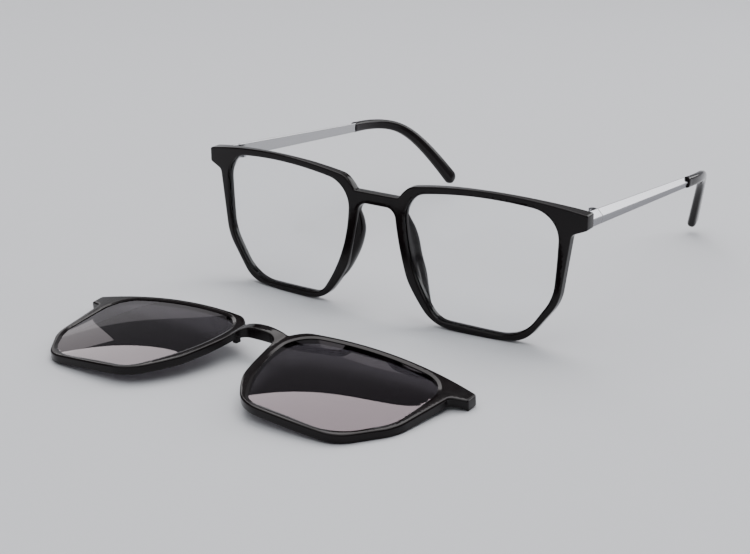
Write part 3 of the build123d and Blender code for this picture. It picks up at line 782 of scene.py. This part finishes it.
def lens_shell(s, grow, ahead, thick, crown):
    """A lens: the opening's outline grown into the groove, between the bend and the bend moved
    back, both crowned by crown x (1 - u^2) (1 - v^2), u and v running from -1 to 1."""
    ring = opening_ring(s, grow)
    low, high = ring.min(0), ring.max(0)
    middle, half = (low + high) / 2, (high - low) / 2

    def face(offset):
        def surface(x, z):
            u, v = (x - middle[0]) / half[0], (z - middle[1]) / half[1]
            rise = crown * np.clip(1 - u * u, 0, 1) * np.clip(1 - v * v, 0, 1)
            return bend(s, x, offset) - rise
        return surface

    profile = edge_profile(*LENS_ROUNDS, steps=2)
    return plate([(ring, 1, profile)], face(ahead), face(ahead - thick), LENS_MESH)


def bar_place(t, back):
    """Outer face, middle height, thickness and height of the bar, linear from its start to the
    tip, as columns."""
    s = sizes("front")
    share = (back - s.end_back) / (t.sleeve_start - s.end_back)
    first = np.array([t.outer, t.start_height - s.bridge_height, t.thickness, t.height])
    last = np.array([t.end_outer, t.end_middle - s.bridge_height, t.end_thickness, t.end_height])
    return (first + share[:, None] * (last - first)).T[:, :, None]


def bar_shell(t, backs, shrinks):
    """Faceted bar: the rounded section carried along Y, each ring drawn in towards its middle."""
    ring = outline([(x, z, BAR_ROUND, 0) for x, z in BAR_SECTION], 4, 2)
    backs = np.asarray(backs, float)
    outer, middle, thick, tall = bar_place(t, backs)
    shrink = np.asarray(shrinks, float)[:, None]
    x = outer - thick / 2 + (ring[:, 0] + 0.5) * (thick - 2 * shrink)
    z = middle + ring[:, 1] * (tall - 2 * shrink)
    return loft(np.stack([x, backs[:, None] + 0 * x, z], -1))


def rounded_block(low, high, radius):
    """Block with rounded upright edges and softened ends: a rounded rectangle carried up."""
    (left, near, bottom), (right, far, top) = low, high
    ring = outline([(left, far, radius, 0), (right, far, radius, 0), (right, near, radius, 0),
                    (left, near, radius, 0)], 4, 2)
    soft = radius / 2
    flat = ring - outward(ring) * np.array([soft, 0, 0, soft])[:, None, None]
    heights = np.array([bottom, bottom + soft, top - soft, top])[:, None, None]
    return loft(np.concatenate([flat, np.broadcast_to(heights, (4, len(ring), 1))], -1))


def knuckle_shell(t, low, high, ahead):
    """A knuckle round the hinge axis, with softened ends, and the web that ties it to its bar."""
    radius, soft = t.knuckle_radius, KNUCKLE_SOFT
    x = t.outer - t.thickness - t.side_gap - radius
    middle = bar_place(t, np.array([t.seam_back]))[1, 0, 0]
    profile = [(radius - soft, low), (radius, low + soft), (radius, high - soft), (radius - soft, high)]
    barrel = turned(profile, (x, t.seam_back, middle))
    reach = x + radius + t.side_gap + WEB_BITE
    near, far = (t.seam_back - t.web, t.seam_back) if ahead else (t.seam_back, t.seam_back + t.web)
    web = rounded_block((x, near, middle + low), (reach, far, middle + high), WEB_ROUND)
    return joined(barrel, web)


def leaf_shell(s, t):
    """Leaf that is let flush into the end piece's slope: a block turned by the slope."""
    slope = s.slope_drop / s.slope_length
    middle = rim_box(s)[2] - s.end_drop - s.end_height / 2 - s.bridge_height
    points, faces = rounded_block((-t.leaf_length, -t.leaf_thickness, -t.leaf_height / 2),
                                  (0, 0, t.leaf_height / 2), LEAF_ROUND)
    place = t.outer, s.end_back - (s.half_width - t.outer) * slope, middle
    return points @ spin(math.atan(slope)).T + place, faces


def tip_line(t):
    """Middle line of the tip from its start to its end, with its section's height and width."""
    backs = np.array([t.sleeve_start, t.sleeve_start + GRIP])
    outer, middle, thick, tall = bar_place(t, backs)[:, :, 0]
    start, grip = np.stack([outer - thick / 2, backs, middle], 1)
    low = sizes("front").bridge_height
    return np.array([(*start, *START_SECTION), (*grip, *GRIP_SECTION),
                     *[(x, y, z - low, *section) for x, y, z, *section in TIP_LINE]])


def natural_spline(rows, steps):
    """Points on the cubic spline through rows by chord length, with no bend at its two ends."""
    gap = np.sqrt((np.diff(rows[:, :3], axis=0) ** 2).sum(1))
    knots = np.concatenate([[0], np.cumsum(gap)])
    count = len(rows)
    system, right = np.eye(count), np.zeros_like(rows)
    for k in range(1, count - 1):
        system[k, k - 1:k + 2] = gap[k - 1], 2 * (gap[k - 1] + gap[k]), gap[k]
        right[k] = 6 * ((rows[k + 1] - rows[k]) / gap[k] - (rows[k] - rows[k - 1]) / gap[k - 1])
    curve = np.linalg.solve(system, right)
    at = np.linspace(0, knots[-1], steps)
    k = np.clip(np.searchsorted(knots, at, side="right") - 1, 0, count - 2)
    h, a, b = gap[k, None], (knots[k + 1] - at)[:, None], (at - knots[k])[:, None]
    bent = (curve[k] * a ** 3 + curve[k + 1] * b ** 3) / (6 * h)
    straight = (rows[k] / h - curve[k] * h / 6) * a + (rows[k + 1] / h - curve[k + 1] * h / 6) * b
    return bent + straight, at


def tip_shell(t):
    """Tip: a rounded section carried square to a cubic spline. Its far end is drawn in by a
    quarter round, and the collar at its start stands proud between two small steps."""
    line, at = natural_spline(tip_line(t), TIP_STEPS)
    fine = at[-1] - t.tip_round * (1 - np.sin(np.linspace(0, np.pi / 2, 24)))
    at = np.concatenate([at[at < fine[0] - 0.0001], fine])
    even = np.linspace(0, at[-1], TIP_STEPS)
    line = np.stack([np.interp(at, even, column) for column in line.T], 1)
    run = np.gradient(line[:, :3], at, axis=0)
    run /= np.linalg.norm(run, axis=1)[:, None]
    side = np.array([1, 0, 0]) - run * run[:, :1]
    side /= np.linalg.norm(side, axis=1)[:, None]
    up = np.cross(run, side)
    left = np.clip((at - (at[-1] - t.tip_round)) / t.tip_round, 0, 0.999)
    draw = 1 - np.sqrt(1 - left ** 2)
    behind = smoothstep(t.collar_length, t.collar_length + COLLAR_STEP, at)
    proud = COLLAR_PROUD * smoothstep(0, COLLAR_STEP, at) * (1 - behind)
    tall, wide = (line[:, 3:] / 2 * (1 - draw)[:, None] + proud[:, None]).T[:, :, None, None]
    ring = outline([(x, z, TIP_CORNER, 0) for x, z in ((-1, 1), (1, 1), (1, -1), (-1, -1))], 9, 8)
    return loft(line[:, None, :3] + side[:, None] * (ring[:, :1] * wide)
                + up[:, None] * (ring[:, 1:] * tall))


def lug_shell(s, c):
    """Locating lug: a small flat plate below the end of the clip's bridge."""
    under = -s.bridge_depth / 2
    ring = outline([(x, under + z, radius, 0) for x, z, radius in LUG], 8, 12)
    front = -(c.stand_off + c.thickness - LUG_SET_BACK)
    return plate([(ring, 1, edge_profile(*LUG_ROUNDS))], lambda x, z: front + 0 * x,
                 lambda x, z: LUG_REAR + 0 * x, LUG_MESH)


def clip_shell(s, c):
    """The clip's moulding as worn: a plate with two grooved openings, arched at the bridge."""
    rim = edge_profile(*CLIP_ROUNDS, steps=7)
    rims = rim_plate(s, clip_face(s, c), clip_rear(s, c), rim, CLIP_OPENING, c.groove_inset,
                     sizes("lenses").sun_thickness, CLIP_MESH)
    return joined(rims, lug_shell(s, c), mirrored(lug_shell(s, c)))


def pair(stem, shell, finish_name, body, node, even=True, place=lambda made: made):
    """Make a shell the left piece and its mirror image the right one, each put in its place. A
    {} in the body stands for the side."""
    for side, made in zip(SIDES, (shell, mirrored(shell))):
        piece(stem + side, place(made), finish_name, body.format(side), [node + side], even)


class SpectacleOperator:
    """What the operators share."""
    bl_options = {"REGISTER", "UNDO"}


class SPECTACLE_OT_front(SpectacleOperator, Operator):
    """Build the moulded front with its bridge, end pieces and nose wings"""
    bl_idname = "spectacle.front"
    bl_label = "Front"

    def execute(self, context):
        piece("front_moulding", front_shell(sizes("front")), "moulded_black", "front",
              ["front_frame"])
        return {"FINISHED"}


class SPECTACLE_OT_clear_lenses(SpectacleOperator, Operator):
    """Build the clear lenses in the front's grooves"""
    bl_idname = "spectacle.clear_lenses"
    bl_label = "Clear lenses"

    def execute(self, context):
        s, l = sizes("front"), sizes("lenses")
        shell = lens_shell(s, s.groove_depth - l.play, -s.groove_inset, l.demo_thickness, 0.0)
        pair("clear_lens_", shell, "coated_lens", "front", "demo_lens_")
        return {"FINISHED"}


class SPECTACLE_OT_hinges(SpectacleOperator, Operator):
    """Build the metal end blocks with their knuckles and leaves"""
    bl_idname = "spectacle.hinges"
    bl_label = "Hinge blocks"

    def execute(self, context):
        s, t = sizes("front"), sizes("temples")
        end = t.seam_back - t.seam_gap / 2
        rear = s.end_back - s.slope_drop * (s.half_width - t.outer) / s.slope_length
        start = rear - BAR_INSIDE
        bar = bar_shell(t, [start, end - t.seam_bevel, end], [0, 0, t.seam_bevel])
        near = t.knuckle_height / 2 + t.knuckle_gap
        far = near + t.knuckle_height
        knuckles = knuckle_shell(t, near, far, True), knuckle_shell(t, -far, -near, True)
        shell = joined(bar, leaf_shell(s, t), *knuckles)
        pair("end_block_", shell, "brushed_bar", "front", "hinge_block_")
        return {"FINISHED"}


class SPECTACLE_OT_bars(SpectacleOperator, Operator):
    """Build the faceted metal temples"""
    bl_idname = "spectacle.bars"
    bl_label = "Temple bars"

    def execute(self, context):
        t = sizes("temples")
        start, end = t.seam_back + t.seam_gap / 2, t.sleeve_start + TAIL
        bar = bar_shell(t, [start, start + t.seam_bevel, end], [t.seam_bevel, 0, 0])
        half = t.knuckle_height / 2
        shell = joined(bar, knuckle_shell(t, -half, half, False))
        pair("bar_", shell, "brushed_bar", "temple_{}", "temple_bar_")
        return {"FINISHED"}


class SPECTACLE_OT_tips(SpectacleOperator, Operator):
    """Build the moulded tips"""
    bl_idname = "spectacle.tips"
    bl_label = "Temple tips"

    def execute(self, context):
        pair("tip_", tip_shell(sizes("temples")), "tip_black", "temple_{}",
             "temple_tip_", even=False)
        return {"FINISHED"}


class SPECTACLE_OT_clip(SpectacleOperator, Operator):
    """Build the sun clip's moulding where it lies"""
    bl_idname = "spectacle.clip"
    bl_label = "Sun clip"

    def execute(self, context):
        s, c = sizes("front"), sizes("clip")
        piece("clip_moulding", laid(clip_shell(s, c), s, c), "moulded_black", "clip",
              ["clip_frame"])
        return {"FINISHED"}


class SPECTACLE_OT_sun_lenses(SpectacleOperator, Operator):
    """Build the clip's dark lenses"""
    bl_idname = "spectacle.sun_lenses"
    bl_label = "Sun lenses"

    def execute(self, context):
        s, c, l = sizes("front"), sizes("clip"), sizes("lenses")
        ahead = c.stand_off + c.thickness - c.groove_inset
        shell = lens_shell(s, s.groove_depth - l.play, ahead, l.sun_thickness, l.crown)
        pair("sun_lens_", shell, "tinted_lens", "clip", "clip_lens_",
             place=lambda made: laid(made, s, c))
        return {"FINISHED"}


class SPECTACLE_OT_small_parts(SpectacleOperator, Operator):
    """Give the screws and magnets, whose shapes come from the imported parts, their finishes"""
    bl_idname = "spectacle.small_parts"
    bl_label = "Screws and magnets"

    def execute(self, context):
        screws = ["hinge_screw_", "leaf_screws_"]
        magnets = ["end_magnet_", "bridge_magnet_", "clip_end_magnet_", "clip_bridge_magnet_"]
        for stem in screws + magnets:
            for side in SIDES:
                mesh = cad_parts[stem + side].data
                mesh.materials.clear()
                mesh.materials.append(material("turned_screw" if stem in screws else "plated_magnet"))
        return {"FINISHED"}


def table_shell(low):
    """Table at a height: flat, then swept up behind on a circle into a straight edge."""
    turn = np.linspace(0, SWEEP_TURN, 25)
    sweep = np.stack([np.sin(turn), 1 - np.cos(turn)], 1) * SWEEP_RADIUS + (SWEEP_BACK, 0)
    sweep = np.concatenate([[(-TABLE_HALF, 0)], sweep, sweep[-1:] + SWEEP_EDGE])
    points = [(x, y, low + z) for y, z in sweep for x in (-TABLE_HALF, TABLE_HALF)]
    return points, grid_faces(len(sweep), 2, close_rows=False)


def lamp(name, corner, along, up, radiance, tone):
    """Softbox on the rectangle that two edges span from a corner. It shines against the
    direction of along x up."""
    corner, along, up = Vector(corner), Vector(along), Vector(up)
    light = bpy.data.lights.new(name, "AREA")
    light.shape, light.size, light.size_y = "RECTANGLE", along.length, up.length
    light.energy, light.color = radiance * math.pi * along.length * up.length, tone
    made = placed(name, light)
    axes = along.normalized(), up.normalized(), along.cross(up).normalized()
    middle = Matrix.Translation(corner + (along + up) / 2)
    made.matrix_world = middle @ Matrix(axes).transposed().to_4x4()


def photo_camera():
    """Camera of the photo: turned round the object, tilted down to it and rolled."""
    data = bpy.data.cameras.new("photo_camera")
    data.sensor_width, data.lens = SENSOR, SENSOR * FOCAL_LENGTH / PHOTO_WIDTH
    data.clip_start, data.clip_end = 0.01, 30
    made = placed("photo_camera", data)
    around, over, roll = (math.radians(turn) for turn in CAMERA_TURNS)
    level = Vector((-math.sin(around), math.cos(around), 0)) * math.cos(over)
    ahead = level - Vector((0, 0, math.sin(over)))
    right = Vector((math.cos(around), math.sin(around), 0))
    up = right.cross(ahead)
    axes = (right * math.cos(roll) + up * math.sin(roll), up * math.cos(roll) - right * math.sin(roll),
            -ahead)
    made.matrix_world = Matrix.Translation(CAMERA_PLACE) @ Matrix(axes).transposed().to_4x4()
    bpy.context.scene.camera = made


class SPECTACLE_OT_stage(SpectacleOperator, Operator):
    """Lay the pale table, hang the soft lamps and set the camera"""
    bl_idname = "spectacle.stage"
    bl_label = "Stage"

    def execute(self, context):
        points, faces = table_shell(CAD_BOX[0].z)
        mesh = bpy.data.meshes.new("table")
        mesh.from_pydata(points, [], faces)
        mesh.shade_smooth()
        mesh.materials.append(material("pale_table"))
        placed("table", mesh)
        world = bpy.data.worlds.new("studio")
        world.use_nodes = True
        background = world.node_tree.nodes["Background"]
        background.inputs["Color"].default_value = (0.80, 0.82, 0.86, 1)
        background.inputs["Strength"].default_value = 0.2
        context.scene.world = world
        for name, values in LAMPS.items():
            lamp(name, *values)
        photo_camera()
        return {"FINISHED"}


class SPECTACLE_PT_panel(Panel):
    """Lists the pieces in the sidebar."""
    bl_idname = "SPECTACLE_PT_panel"
    bl_label = "Spectacles"
    bl_space_type = "VIEW_3D"
    bl_region_type = "UI"
    bl_category = "Spectacles"

    def draw(self, context):
        for operator in OPERATORS:
            self.layout.operator(operator.bl_idname)
        for name in GROUPS:
            box = self.layout.box()
            box.label(text=name.capitalize())
            group = sizes(name)
            for key in group.__annotations__:
                box.prop(group, key)


GROUPS = {"front": FrontSizes, "lenses": LensSizes, "temples": TempleSizes, "clip": ClipSizes,
          "finishes": Finishes}
OPERATORS = SpectacleOperator.__subclasses__()  # in the order above
CLASSES = *GROUPS.values(), *OPERATORS, SPECTACLE_PT_panel


def register():
    """Register the classes and give the scene its groups of sizes."""
    for made in CLASSES:
        bpy.utils.register_class(made)
    for name, group in GROUPS.items():
        setattr(bpy.types.Scene, "spectacle_" + name, PointerProperty(type=group))


def unregister():
    """Take back what register did."""
    for name in GROUPS:
        delattr(bpy.types.Scene, "spectacle_" + name)
    for made in reversed(CLASSES):
        bpy.utils.unregister_class(made)


def main():
    """Build every piece."""
    register()
    for operator in OPERATORS:
        group, name = operator.bl_idname.split(".")
        getattr(getattr(bpy.ops, group), name)()


if __name__ == "__main__":
    main()
